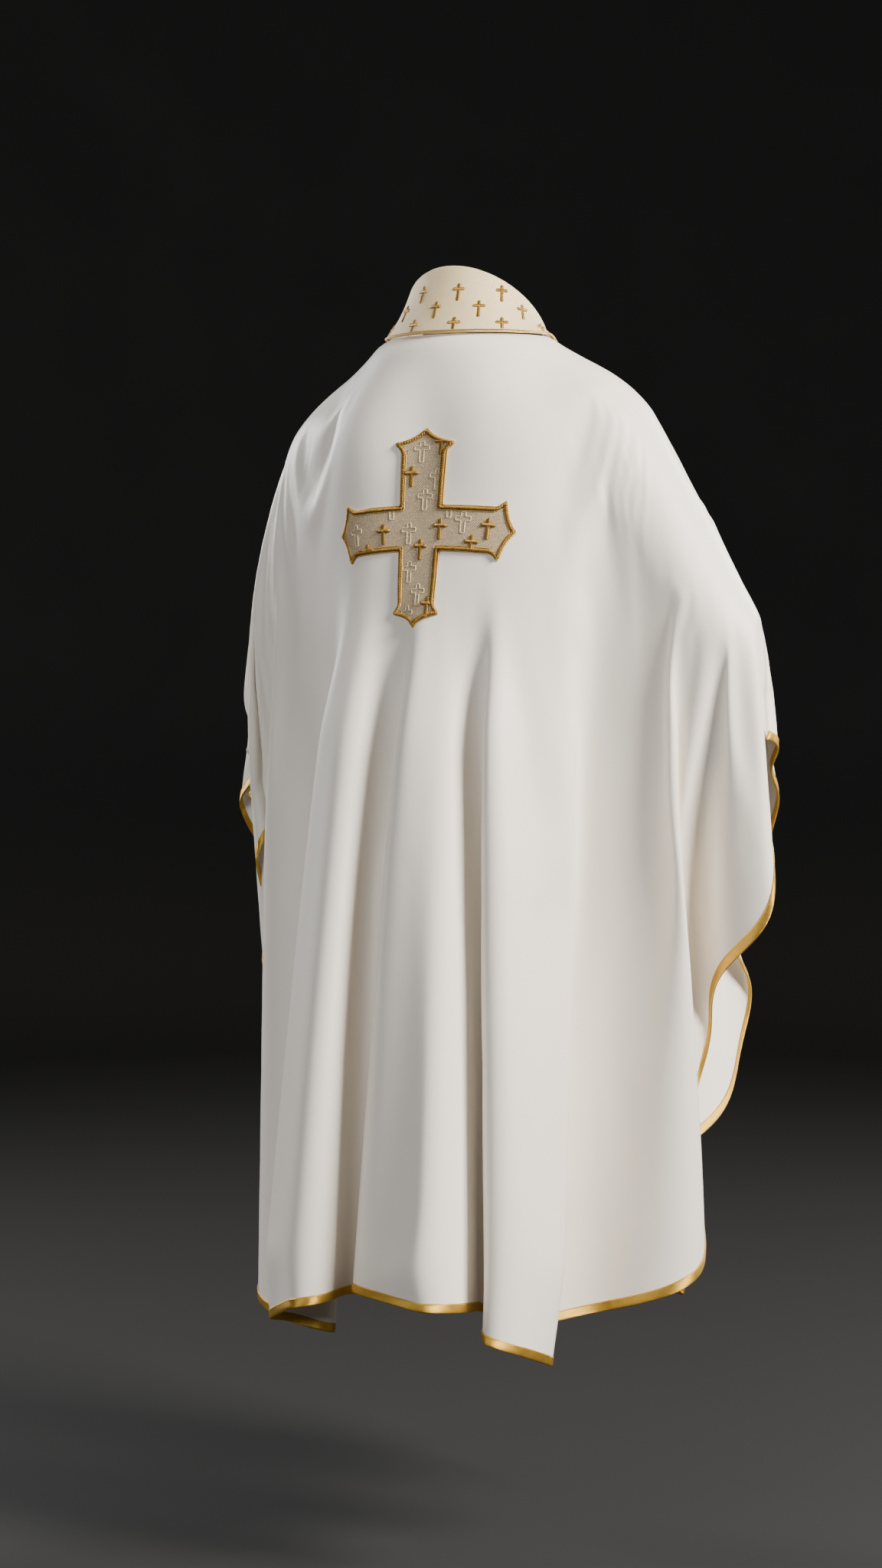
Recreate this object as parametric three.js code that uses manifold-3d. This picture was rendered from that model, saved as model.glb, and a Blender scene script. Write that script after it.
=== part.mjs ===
// A full-cut chasuble with a standing collar, in the shape it takes when worn: a back and a front panel
// joined along the shoulders, a gold binding round the hem, a brocade collar on a stiff interlining, and
// an applied brocade cross with a gold cord edge and padded motifs on the back and on the front.
// Millimetres, +Z up. The wearer faces -Y and their left hand is at +X. The origin is the middle of the
// neck seam at the back of the shoulders, where the garment is carried.
import * as THREE from 'three';
import Module from 'manifold-3d';
import { mergeVertices } from 'three/addons/utils/BufferGeometryUtils.js';
import { TessellateModifier } from 'three/addons/modifiers/TessellateModifier.js';

// Driving dimensions of the cut, measured on the flat cloth from the middle of the neck.
const BACK_LENGTH = 1265;
const FRONT_LENGTH = 1250;
const WING_WIDTH = 725; // half the width at the wearer's elbows
const BACK_SPREAD = 280; // how much wider the panels are at the hem
const FRONT_SPREAD = 120;
const CORNER_POWER = 4.5; // 2 would be an ellipse; higher squares the corners
const NECK_RADIUS_BACK = 95;
const NECK_RADIUS_SIDE = 125;
const NECK_RADIUS_FRONT = 145;
const CONE_SHARE = 0.9; // the flat cut covers this share of a full turn
const SIDE_FULLNESS = 0.25; // how much more of it lies at the sides than over the back and the chest

// The neck seam as worn.
const NECK_HALF_WIDTH = 107;
const NECK_BACK_REACH = 88;
const NECK_FRONT_REACH = 105;
const NECK_FRONT_DROP = 75;

// Cloths and their gaps.
const CLOTH = 1.6;
const SEAM_GAP = 0.6;
const LAYER_GAP = 0.5;
const TRIM_GAP = 1.6; // clear of the facets of the curved cloth below

// Folds stand out at these bearings, in degrees from the middle of the back towards the wearer's left.
const FOLD_BEARINGS = [12, 34, 52, 70, 90, 112, 134, 156, 178, 200, 224, 248, 270, 292, 316, 350];
const FOLD_DEPTH = 46;
const FOLD_GROWTH = 0.07; // fold depth gained for each millimetre of cloth
const FOLD_START_SIDE = 190; // distance from the neck at which folds begin
const FOLD_START_MIDDLE = 430; // lower down behind the crosses, where the cloth lies smooth

const BINDING_WIDTH = 10;
const BINDING_THICKNESS = 0.7;
const BINDING_GAP = 1.2; // room for the raw edge between its two sides

const rad = THREE.MathUtils.degToRad;
const { lerp, smoothstep, clamp } = THREE.MathUtils;

const IVORY = new THREE.MeshStandardMaterial({ color: 0xe9ddcb, roughness: 0.55, metalness: 0 });
const BROCADE = new THREE.MeshStandardMaterial({ color: 0xd9c39c, roughness: 0.5, metalness: 0.15 });
const GOLD = new THREE.MeshStandardMaterial({ color: 0xb98a3a, roughness: 0.4, metalness: 0.6 });
const FELT = new THREE.MeshStandardMaterial({ color: 0xefe9df, roughness: 0.95, metalness: 0 });

const wasm = await Module();
wasm.setup();

const group = new THREE.Group();

function addPiece(name, geometry, material) {
  const mesh = new THREE.Mesh(geometry, material);
  mesh.name = name;
  group.add(mesh);
  return mesh;
}

// ---- The drape -------------------------------------------------------------------------------------

// The place round the cone that the flat cut would roll into, for a bearing as worn, and the other way.
const coneTurn = (bearing) => bearing - (SIDE_FULLNESS / 2) * Math.sin(2 * bearing);

function wornBearing(turn) {
  let bearing = turn;
  for (let step = 0; step < 16; step += 1) bearing = turn + (SIDE_FULLNESS / 2) * Math.sin(2 * bearing);
  return bearing;
}

function neckRadius(bearing) {
  const middle = Math.cos(bearing) > 0 ? NECK_RADIUS_BACK : NECK_RADIUS_FRONT;
  return lerp(NECK_RADIUS_SIDE, middle, Math.cos(bearing) ** 2);
}

// Flat distance from the middle of the neck to the hem.
function hemRadius(bearing) {
  const back = Math.cos(bearing) > 0;
  const turn = CONE_SHARE * coneTurn(Math.asin(Math.abs(Math.sin(bearing))));
  const opening = Math.cos(turn) - Math.cos(CONE_SHARE * rad(90));
  const halfWidth = WING_WIDTH + (back ? BACK_SPREAD : FRONT_SPREAD) * opening;
  const along = (Math.cos(turn) / (back ? BACK_LENGTH : FRONT_LENGTH)) ** CORNER_POWER;
  const across = (Math.sin(turn) / halfWidth) ** CORNER_POWER;
  return (along + across) ** (-1 / CORNER_POWER);
}

const clothLength = (bearing) => hemRadius(bearing) - neckRadius(bearing);

// How far a bearing is to the side, 0 at the middle of the back or front and 1 over a shoulder.
const sideShare = (bearing) => Math.abs(Math.sin(bearing)) ** 1.5;

function neckPoint(bearing) {
  const back = Math.cos(bearing);
  const reach = back > 0 ? NECK_BACK_REACH : NECK_FRONT_REACH;
  const drop = NECK_FRONT_DROP * Math.max(0, -back) ** 1.5;
  return new THREE.Vector3(NECK_HALF_WIDTH * Math.sin(bearing), reach * back, -drop);
}

// 1 on a ridge and -1 in a valley.
function foldWave(bearing) {
  const degrees = ((THREE.MathUtils.radToDeg(bearing) % 360) + 360) % 360;
  const next = FOLD_BEARINGS.findIndex((ridge) => ridge > degrees);
  const count = FOLD_BEARINGS.length;
  const before = FOLD_BEARINGS[count - 1];
  const right = next === -1 ? FOLD_BEARINGS[0] + 360 : FOLD_BEARINGS[next];
  const left = next === -1 ? before : (FOLD_BEARINGS[next - 1] ?? before - 360);
  return Math.cos((2 * Math.PI * (degrees - left)) / (right - left));
}

// A point of the worn cloth: along is the distance from the neck seam down the cloth. Each line of the
// cloth slopes over the shoulder, bends and then hangs with a little flare.
function drapePoint(bearing, along) {
  const side = sideShare(bearing);
  const front = Math.cos(bearing) < 0;
  const wearersRight = Math.sin(bearing) < 0;
  const slope = lerp(front ? rad(34) : rad(44), rad(24), side);
  const flare = lerp(rad(6), wearersRight ? rad(14) : rad(6), side);
  const hang = Math.PI / 2 - flare;
  const bendStart = lerp(front ? 25 : 10, 82, side);
  const bendLength = 130;

  const steps = 16;
  const bendEnd = bendStart + bendLength;
  let out = Math.min(along, bendStart) * Math.cos(slope);
  let down = Math.min(along, bendStart) * Math.sin(slope);
  const bent = clamp(along - bendStart, 0, bendLength);
  for (let step = 0; step < steps; step += 1) {
    const share = ((step + 0.5) / steps) * (bent / bendLength);
    const pitch = lerp(slope, hang, smoothstep(share, 0, 1));
    out += (bent / steps) * Math.cos(pitch);
    down += (bent / steps) * Math.sin(pitch);
  }
  const hung = Math.max(0, along - bendEnd);
  out += hung * Math.cos(hang);
  down += hung * Math.sin(hang);

  const foldStart = lerp(FOLD_START_MIDDLE, FOLD_START_SIDE, side);
  const depth = Math.min(FOLD_DEPTH, FOLD_GROWTH * Math.max(0, along - foldStart));
  out += depth * foldWave(bearing);

  const heading = new THREE.Vector3(Math.sin(bearing), 0.78 * Math.cos(bearing), 0).normalize();
  return neckPoint(bearing).addScaledVector(heading, out).add(new THREE.Vector3(0, 0, -down));
}

// The outward normal of the cloth.
function drapeNormal(bearing, along) {
  const turn = 0.01;
  const step = 4;
  const across = drapePoint(bearing + turn, along).sub(drapePoint(bearing - turn, along));
  const down = drapePoint(bearing, along + step).sub(drapePoint(bearing, Math.max(0, along - step)));
  return across.cross(down).normalize();
}

const onDrape = (bearing, along, height) =>
  drapePoint(bearing, along).addScaledVector(drapeNormal(bearing, along), height);

// Moves every vertex of a geometry by place(x, y, z), and closes its surface.
function bendGeometry(geometry, place) {
  const plain = new THREE.BufferGeometry();
  plain.setAttribute('position', geometry.getAttribute('position').clone());
  if (geometry.index) plain.setIndex(geometry.index.clone());
  const merged = mergeVertices(plain, 1e-3);
  const position = merged.getAttribute('position');
  for (let i = 0; i < position.count; i += 1) {
    const moved = place(position.getX(i), position.getY(i), position.getZ(i));
    position.setXYZ(i, moved.x, moved.y, moved.z);
  }
  merged.computeVertexNormals();
  return merged;
}

// A closed slab: a grid of facets placed by place(x, y, high) for its upper and its lower face, with x and y
// from -0.5 to 0.5. Both faces are cut into the same triangles, so that the wall between them stays even.
function slabGeometry(columns, rows, place) {
  const grid = new THREE.PlaneGeometry(1, 1, columns, rows);
  const flat = grid.getAttribute('position');
  const points = [true, false].flatMap((high) =>
    Array.from({ length: flat.count }, (_, i) => place(flat.getX(i), flat.getY(i), high)));

  const upper = [...grid.index.array];
  const lower = upper.map((_, i) => flat.count + upper[i + [0, 1, -1][i % 3]]);
  const stride = columns + 1;
  const rim = [
    ...Array.from({ length: columns }, (_, i) => rows * stride + i),
    ...Array.from({ length: rows }, (_, i) => (rows - i) * stride + columns),
    ...Array.from({ length: columns }, (_, i) => columns - i),
    ...Array.from({ length: rows }, (_, i) => i * stride),
  ];
  const edge = rim.flatMap((a, i) => {
    const b = rim[(i + 1) % rim.length];
    return [a, a + flat.count, b + flat.count, a, b + flat.count, b];
  });

  const slab = new THREE.BufferGeometry().setFromPoints(points);
  slab.setIndex([...upper, ...lower, ...edge]);
  slab.computeVertexNormals();
  return slab;
}

// Cuts the second closed geometry out of the first, and keeps the main body of what is left.
function cutOut(geometry, cutter) {
  const [kept, cut] = [geometry, cutter].map((solid) => new wasm.Manifold(new wasm.Mesh({
    numProp: 3,
    vertProperties: new Float32Array(solid.getAttribute('position').array),
    triVerts: new Uint32Array(solid.index.array),
  })));
  const [main] = kept.subtract(cut).decompose().sort((a, b) => b.volume() - a.volume());
  const mesh = main.getMesh();
  const result = new THREE.BufferGeometry();
  result.setAttribute('position', new THREE.BufferAttribute(mesh.vertProperties, 3));
  result.setIndex(new THREE.BufferAttribute(mesh.triVerts, 1));
  result.computeVertexNormals();
  return result;
}

// ---- Panels ----------------------------------------------------------------------------------------

const PANEL_COLUMNS = 56;
const ROW_SHARES = [0, 0.03, 0.06, 0.1, 0.14, 0.19, 0.26, 0.38, 0.54, 0.76, 1];

// A slab of cloth across a panel, with a row of points at each distance along the cloth and faces at two
// heights over its middle. It stops a gap short of the seam line at both shoulders.
function clothSlab(middle, columns, rows, lowHeight, highHeight, gap = SEAM_GAP / 2) {
  return slabGeometry(columns, rows.length - 1, (x, y, high) => {
    const row = rows[Math.round((0.5 - y) * (rows.length - 1))];
    const seamRadius = NECK_HALF_WIDTH + row(middle - x * rad(180));
    const bearing = middle - 2 * x * (rad(90) - gap / seamRadius);
    return onDrape(bearing, row(bearing), high ? highHeight : lowHeight);
  });
}

const PANELS = { back: 0, front: Math.PI };
const aboveBinding = (bearing) => clothLength(bearing) - BINDING_WIDTH;

const panels = {};
for (const [side, middle] of Object.entries(PANELS)) {
  const rows = [...ROW_SHARES.map((share) => (bearing) => share * aboveBinding(bearing)), clothLength];
  const slab = clothSlab(middle, PANEL_COLUMNS, rows, -CLOTH / 2, CLOTH / 2);
  panels[side] = addPiece(`${side}_panel`, slab, IVORY);
}

// ---- Hem binding: a folded gold tape over the raw edge ----------------------------------------------

for (const [side, middle] of Object.entries(PANELS)) {
  const inside = CLOTH / 2 + BINDING_GAP;
  const outside = inside + BINDING_THICKNESS;
  const past = (distance) => (bearing) => clothLength(bearing) + distance;
  const slab = (rows, height, gap) => clothSlab(middle, PANEL_COLUMNS, rows, -height, height, gap);
  const outer = slab([aboveBinding, past(BINDING_GAP + BINDING_THICKNESS)], outside, 0.75 * SEAM_GAP);
  const inner = slab([past(-1.5 * BINDING_WIDTH), aboveBinding, clothLength, past(BINDING_GAP)], inside);
  const edge = slab([past(-1.5 * BINDING_WIDTH), aboveBinding, past(0.2)], CLOTH / 2 + 0.2);
  addPiece(`${side}_hem_binding`, [inner, edge, panels[side].geometry].reduce(cutOut, outer), GOLD);
}

// ---- Inside the garment: shoulder seam tapes, neck facings and the hanging loop ---------------------

const FACING_DEPTH = 42;
const FACING_THICKNESS = 1;
const TAPE_WIDTH = 14;
const TAPE_THICKNESS = 0.9;
const TAPE_GAP = 3.2;

for (const [side, middle] of Object.entries(PANELS)) {
  const top = -CLOTH / 2 - TRIM_GAP;
  const rows = [3, 15, 28, FACING_DEPTH].map((along) => () => along);
  addPiece(`${side}_neck_facing`, clothSlab(middle, 24, rows, top - FACING_THICKNESS, top), IVORY);
}

// The tapes follow the panels' own rows, from below the facing to just above the binding.
const TAPE_ROWS = [...ROW_SHARES.slice(3, -1), 0.98];

for (const [side, middle] of [['left', rad(90)], ['right', rad(-90)]]) {
  const top = -CLOTH / 2 - TAPE_GAP;
  const tape = slabGeometry(2, TAPE_ROWS.length - 1, (x, y, high) => {
    const along = TAPE_ROWS[Math.round((0.5 - y) * (TAPE_ROWS.length - 1))] * aboveBinding(middle);
    const turn = (x * TAPE_WIDTH) / (along + NECK_RADIUS_BACK);
    return onDrape(middle - turn, along, high ? top : top - TAPE_THICKNESS);
  });
  addPiece(`${side}_shoulder_seam_tape`, tape, IVORY);
}

const LOOP_LENGTH = 64;
const LOOP_WIDTH = 5;
const LOOP_SAG = 6;
const LOOP_THICKNESS = 0.8;
const loopTop = -CLOTH / 2 - TRIM_GAP - FACING_THICKNESS - 1.4;
const loop = slabGeometry(14, 1, (x, y, high) => {
  const bearing = (-x * LOOP_LENGTH) / (NECK_RADIUS_BACK + 20);
  const height = loopTop - LOOP_SAG * Math.cos(Math.PI * x);
  return onDrape(bearing, 18 - y * LOOP_WIDTH, high ? height : height - LOOP_THICKNESS);
});
addPiece('hanging_loop', loop, IVORY);

// ---- Collar ----------------------------------------------------------------------------------------

const COLLAR_HALF_WIDTH = 86;
const COLLAR_HALF_DEPTH = 78;
const COLLAR_CENTRE_Y = -22;
const COLLAR_MID_HEIGHT = 22;
const COLLAR_TILT = 64;
const COLLAR_COLUMNS = 36;
const COLLAR_ROWS = 3;
const COLLAR_FOLD = 16;
const COLLAR_THROAT_GAP = 0.004; // half the angle between its two joined ends

// The collar's top edge is a tilted ring, high at the nape and low at the throat.
function collarTop(bearing) {
  return new THREE.Vector3(
    COLLAR_HALF_WIDTH * Math.sin(bearing),
    COLLAR_CENTRE_Y + COLLAR_HALF_DEPTH * Math.cos(bearing),
    COLLAR_MID_HEIGHT + COLLAR_TILT * Math.cos(bearing),
  );
}

const collarBase = (bearing) => neckPoint(bearing).add(new THREE.Vector3(0, 0, 2.4));

function onCollar(bearing, up, height) {
  const base = collarBase(bearing);
  const rise = collarTop(bearing).sub(base);
  const across = collarBase(bearing + 0.01).sub(collarBase(bearing - 0.01));
  const outward = rise.clone().cross(across).normalize();
  return base.addScaledVector(rise, up / rise.length()).addScaledVector(outward, height);
}

const collarRise = (bearing) => collarTop(bearing).sub(collarBase(bearing)).length();

// A band round the collar between two distances up from its base and two heights over its middle.
function collarBand(lowUp, highUp, inner, outer, throatGap = COLLAR_THROAT_GAP) {
  return slabGeometry(COLLAR_COLUMNS, COLLAR_ROWS, (x, y, high) => {
    const bearing = -2 * x * (rad(180) - throatGap);
    const up = lerp(lowUp, collarRise(bearing) + highUp, y + 0.5);
    return onCollar(bearing, up, high ? outer : inner);
  });
}

addPiece('collar_interlining', collarBand(3, -3, -0.6, 0.6), FELT);
addPiece('collar_lining', collarBand(1.5, -COLLAR_FOLD - 1.5, -2.8, -1.8), IVORY);

// The brocade goes up the outside, turns over the top edge and comes down COLLAR_FOLD inside.
const turnedOver = collarBand(1, 1.2, -2.4, 2.4);
const insideTurn = cutOut(turnedOver, collarBand(0, 0, -1.4, 1.4, 0));
addPiece('collar_brocade', cutOut(insideTurn, collarBand(0, -COLLAR_FOLD, -3, 0, 0)), BROCADE);

// Gold cord in the collar's base seam, with its ends butted at the throat.
const CORD_RADIUS = 1.5;
const circle = (radius, sides) =>
  new THREE.Shape(Array.from({ length: sides }, (_, i) => {
    const turn = (2 * Math.PI * i) / sides;
    return new THREE.Vector2(radius * Math.cos(turn), radius * Math.sin(turn));
  }));

const pipingLine = new THREE.CatmullRomCurve3(
  Array.from({ length: 49 }, (_, i) => {
    const bearing = lerp(-1, 1, i / 48) * (rad(180) - COLLAR_THROAT_GAP);
    return onCollar(bearing, 0, 2.7 + CORD_RADIUS + 0.4).add(new THREE.Vector3(0, 0, 0.4));
  }),
);
addPiece('collar_piping', new THREE.ExtrudeGeometry(circle(CORD_RADIUS, 6), {
  steps: 48,
  extrudePath: pipingLine,
  bevelEnabled: false,
}), GOLD);

// ---- Applied crosses -------------------------------------------------------------------------------

const ARM_HALF_WIDTH = 27;
const ARM_LENGTH = 122;
const EAR_OUT = 35.5;
const EAR_UP = 104;
const FLARE_START = 92;
const CROSS_CENTRE = { back: 350, front: 400 }; // flat distance from the middle of the neck

// Outline of the equal-armed cross with keel-shaped ends, drawn in by inset all round.
function crossOutline(inset) {
  const halfWidth = ARM_HALF_WIDTH - inset;
  const ear = new THREE.Vector2(EAR_OUT - 0.9 * inset, EAR_UP - 0.4 * inset);
  const tip = new THREE.Vector2(0, ARM_LENGTH - 1.3 * inset);
  const halfArm = new THREE.Path();
  halfArm.moveTo(halfWidth, halfWidth);
  halfArm.lineTo(halfWidth, FLARE_START - 0.4 * inset);
  halfArm.quadraticCurveTo(halfWidth + 1.5, ear.y - 5, ear.x, ear.y);
  halfArm.quadraticCurveTo(ear.x * 0.3, ear.y + 4, tip.x, tip.y);
  const right = halfArm.getPoints(2);
  const left = right.slice(1, -1).reverse().map((p) => new THREE.Vector2(-p.x, p.y));
  const middle = new THREE.Vector2();
  return [0, 1, 2, 3].flatMap((arm) =>
    [...right, ...left].map((p) => p.clone().rotateAround(middle, arm * rad(90))));
}

// The small Latin cross of the padded motifs.
function motifOutline() {
  const [bar, top, foot, arm, crossing] = [2.4, 11.5, -15.5, 10, 3];
  const right = [
    [bar, foot],
    [bar, crossing - bar],
    [arm, crossing - bar],
    [arm, crossing + bar],
    [bar, crossing + bar],
    [bar, top],
  ];
  const left = right.map(([x, y]) => [-x, y]).reverse();
  return [...right, ...left].map(([x, y]) => new THREE.Vector2(x, y));
}

// Lays a flat shape on the worn cloth: x to the right and y up, seen from outside, from the cross's middle.
function laidOnCloth(shape, middle, centre, low, high) {
  const flat = new THREE.ExtrudeGeometry(shape, { depth: high - low, bevelEnabled: false });
  const fine = new TessellateModifier(34, 8).modify(flat);
  return bendGeometry(fine, (x, y, z) => {
    const bearing = middle - wornBearing(Math.atan2(x, centre - y) / CONE_SHARE);
    return onDrape(bearing, Math.hypot(x, centre - y) - neckRadius(bearing), low + z);
  });
}

const MOTIFS = [[-12, 65], [-49, -4], [27, -1], [3, -26], [86, 2]];
const CROSS_CORD_WIDTH = 4;

for (const [side, middle] of Object.entries(PANELS)) {
  const centre = CROSS_CENTRE[side];
  const lay = (shape, low, high) => laidOnCloth(shape, middle, centre, low, high);
  const backing = CLOTH / 2 + TRIM_GAP;
  const brocade = backing + 0.8 + LAYER_GAP;
  const motif = brocade + 1 + LAYER_GAP;

  addPiece(`${side}_cross_backing`, lay(new THREE.Shape(crossOutline(1)), backing, backing + 0.8), FELT);

  const field = new THREE.Shape(crossOutline(CROSS_CORD_WIDTH));
  addPiece(`${side}_cross_brocade`, lay(field, brocade, brocade + 1), BROCADE);

  const edge = new THREE.Shape(crossOutline(0));
  edge.holes.push(new THREE.Path(crossOutline(CROSS_CORD_WIDTH - LAYER_GAP).reverse()));
  addPiece(`${side}_cross_cord`, lay(edge, brocade, brocade + 2.6), GOLD);

  MOTIFS.forEach(([x, y], i) => {
    const outline = motifOutline().map((p) => p.add(new THREE.Vector2(x, y)));
    addPiece(`${side}_cross_motif_${i + 1}`, lay(new THREE.Shape(outline), motif, motif + 1.6), GOLD);
  });
}

export default group;
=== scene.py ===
import math

import bmesh
import bpy
import numpy as np
from mathutils import Matrix, Vector
from mathutils.kdtree import KDTree


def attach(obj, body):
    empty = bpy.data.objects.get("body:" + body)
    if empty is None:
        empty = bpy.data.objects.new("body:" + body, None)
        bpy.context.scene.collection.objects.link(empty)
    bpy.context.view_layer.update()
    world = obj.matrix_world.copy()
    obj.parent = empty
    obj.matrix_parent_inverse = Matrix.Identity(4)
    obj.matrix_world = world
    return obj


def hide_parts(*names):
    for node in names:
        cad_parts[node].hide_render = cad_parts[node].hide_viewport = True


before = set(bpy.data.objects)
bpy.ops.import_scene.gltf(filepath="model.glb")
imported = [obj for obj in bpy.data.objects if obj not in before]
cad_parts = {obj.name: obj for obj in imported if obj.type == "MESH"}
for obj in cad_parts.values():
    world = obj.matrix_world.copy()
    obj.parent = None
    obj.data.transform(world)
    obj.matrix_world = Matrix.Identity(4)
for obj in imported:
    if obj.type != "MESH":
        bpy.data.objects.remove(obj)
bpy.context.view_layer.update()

# A full-cut ivory chasuble, draped as it hangs from its wearer's shoulders. The panels are simulated as
# one cloth over a form in the shape of the wearer, which is then removed. Everything sewn to the cloth is
# placed on it by its place in the flat cut. Metres; the wearer faces -Y and their left is +X.

scene = bpy.context.scene

# ---- Camera

VIEW_TURN = math.radians(27)  # how far round from the middle of the back
VIEW_AZIMUTH = math.radians(207)
VIEW_ELEVATION = math.radians(2)
VIEW_DISTANCE, VIEW_HALF_HEIGHT = 4.0, 0.986
VIEW_CENTRE = Vector((0, 0, -0.555))
VIEW_SHIFT = -0.019
SENSOR = 36


def make_camera():
    away = Vector((
        math.sin(VIEW_AZIMUTH) * math.cos(VIEW_ELEVATION),
        -math.cos(VIEW_AZIMUTH) * math.cos(VIEW_ELEVATION),
        math.sin(VIEW_ELEVATION),
    ))
    camera = bpy.data.objects.new("camera", bpy.data.cameras.new("camera"))
    scene.collection.objects.link(camera)
    camera.location = VIEW_CENTRE + away * VIEW_DISTANCE
    camera.rotation_euler = (-away).to_track_quat("-Z", "Y").to_euler()
    camera.data.sensor_width = SENSOR
    camera.data.lens = SENSOR / 2 * VIEW_DISTANCE / VIEW_HALF_HEIGHT
    camera.data.shift_x = VIEW_SHIFT
    scene.camera = camera


make_camera()

# ---- The cut
# Flat distances are from the middle of the neck. A bearing is the angle round the worn garment, from the
# middle of the back towards the wearer's left.

BACK_LENGTH, FRONT_LENGTH = 1.265, 1.25
WING_WIDTH = 0.725  # half the width at the wearer's elbows
BACK_SPREAD, FRONT_SPREAD = 0.28, 0.12  # how much wider the panels are at the hem
CORNER_POWER = 4.5  # 2 would be an ellipse; higher squares the corners
NECK_RADIUS_BACK, NECK_RADIUS_SIDE, NECK_RADIUS_FRONT = 0.095, 0.125, 0.145
CONE_SHARE = 0.90  # the flat cut covers this share of a full turn
SIDE_FULLNESS = 0.25  # how much more of it lies at the sides than over the back and the chest

NECK_HALF_WIDTH = 0.107
NECK_BACK_REACH, NECK_FRONT_REACH, NECK_FRONT_DROP = 0.088, 0.105, 0.075

CLOTH = 0.0012
SIDES = {"back": 0.0, "front": math.pi}  # the bearing of each side's middle


def cone_turn(bearing):
    """The place round the cone that the flat cut would roll into, for a bearing as worn."""
    return bearing - SIDE_FULLNESS / 2 * np.sin(2 * bearing)


def worn_bearing(turn):
    """The bearing as worn of a place round the cone."""
    bearing = turn
    for _ in range(16):
        bearing = turn + SIDE_FULLNESS / 2 * np.sin(2 * bearing)
    return bearing


TURN_AT_SIDE = CONE_SHARE * cone_turn(math.pi / 2)


def neck_radius(bearing):
    middle = np.where(np.cos(bearing) > 0, NECK_RADIUS_BACK, NECK_RADIUS_FRONT)
    return NECK_RADIUS_SIDE + (middle - NECK_RADIUS_SIDE) * np.cos(bearing) ** 2


def hem_radius(bearing):
    back = np.cos(bearing) > 0
    turn = CONE_SHARE * cone_turn(np.arcsin(np.abs(np.sin(bearing))))
    spread = np.where(back, BACK_SPREAD, FRONT_SPREAD) * (np.cos(turn) - math.cos(TURN_AT_SIDE))
    along = (np.cos(turn) / np.where(back, BACK_LENGTH, FRONT_LENGTH)) ** CORNER_POWER
    across = (np.sin(turn) / (WING_WIDTH + spread)) ** CORNER_POWER
    return (along + across) ** (-1 / CORNER_POWER)


def neck_point(bearing):
    back = np.cos(bearing)
    reach = np.where(back > 0, NECK_BACK_REACH, NECK_FRONT_REACH)
    drop = NECK_FRONT_DROP * np.maximum(0, -back) ** 1.5
    return np.stack([NECK_HALF_WIDTH * np.sin(bearing), reach * back, -drop], -1)


def smoothstep(low, high, x):
    t = np.clip((x - low) / (high - low), 0, 1)
    return t * t * (3 - 2 * t)


# ---- The drape before it is simulated

COLUMNS, ROWS = 240, 64
FOLD_BEARINGS = [22, 50, 74, 98, 122, 146, 168, 190, 212, 236, 260, 284, 306, 330, 352]
FOLD_DEPTH, FOLD_GROWTH, FOLD_START = 0.085, 0.10, 0.28
FAN_ANGLE, FAN_LENGTH, FAN_LEFT = math.radians(20), 0.25, 0.92  # the cloth spreads towards the arms
FLARE, FLARE_SIDE, FLARE_RIGHT, FLARE_LEFT = 2.5, 8, 11, 3.5  # degrees out from the upright
SHOULDER_HALF_WIDTH, SHOULDER_WIDER_RIGHT = 0.255, 0.03
SHOULDER_DEPTH_FRONT, SHOULDER_DEPTH_BACK = 0.145, 0.135
SHOULDER_DROP, SHOULDER_SIDE_DROP, SHOULDER_RISE = 0.10, 0.04, 0.025


def fold_wave(bearing):
    """1 on a fold's ridge and -1 in the valley between two folds."""
    degrees = np.degrees(bearing) % 360
    ridges = np.array([FOLD_BEARINGS[-1] - 360, *FOLD_BEARINGS, FOLD_BEARINGS[0] + 360])
    after = np.searchsorted(ridges, degrees, side="right")
    before, nxt = ridges[after - 1], ridges[np.minimum(after, len(ridges) - 1)]
    return np.cos(2 * math.pi * (degrees - before) / (nxt - before))


def starting_drape(bearing, along):
    """The cloth laid over shoulders: along is the distance from the neck seam down the cloth."""
    neck = neck_point(bearing)
    sine, front = np.sin(bearing), np.cos(bearing) < 0
    side, wearers_right = np.abs(sine) ** 1.5, np.clip(-sine, 0, 1)
    half_width = SHOULDER_HALF_WIDTH + SHOULDER_WIDER_RIGHT * wearers_right
    half_depth = np.where(front, SHOULDER_DEPTH_FRONT, SHOULDER_DEPTH_BACK) * np.sign(np.cos(bearing))
    across = sine * (0.7 + 0.3 * sine ** 2)
    backward = (1 - np.abs(across) ** 3) ** (1 / 3)
    height = -SHOULDER_DROP - SHOULDER_SIDE_DROP * side
    shoulder = np.stack([half_width * across, half_depth * backward, height], -1)
    run = np.linalg.norm(shoulder - neck, axis=-1)
    share = np.clip(along / run, 0, 1)[..., None]
    point = neck + (shoulder - neck) * share
    point[..., 2] += SHOULDER_RISE * np.sin(math.pi * share[..., 0])

    hung = np.maximum(0, along - run)
    wearers_left = np.clip(sine, 0, 1)
    flare = FLARE + FLARE_SIDE * side + FLARE_RIGHT * wearers_right ** np.where(front, 8, 3)
    flare = np.radians(flare + FLARE_LEFT * wearers_left ** 0.7)
    heading = np.stack([sine, 0.8 * np.cos(bearing), np.zeros_like(bearing)], -1)
    heading /= np.linalg.norm(heading, axis=-1, keepdims=True)
    depth = np.minimum(FOLD_DEPTH, FOLD_GROWTH * np.maximum(0, along - FOLD_START)) * fold_wave(bearing)
    fan = FAN_ANGLE * np.sin(2 * bearing) * np.sign(np.cos(bearing)) * np.where(sine > 0, FAN_LEFT, 1)
    fanned = FAN_LENGTH * (1 - np.exp(-hung / FAN_LENGTH))
    point += heading * (hung * np.sin(flare) + depth)[..., None]
    point[..., 0] += fanned * np.sin(fan)
    point[..., 2] -= hung * np.cos(flare) - fanned * (1 - np.cos(fan))
    return point


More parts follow.
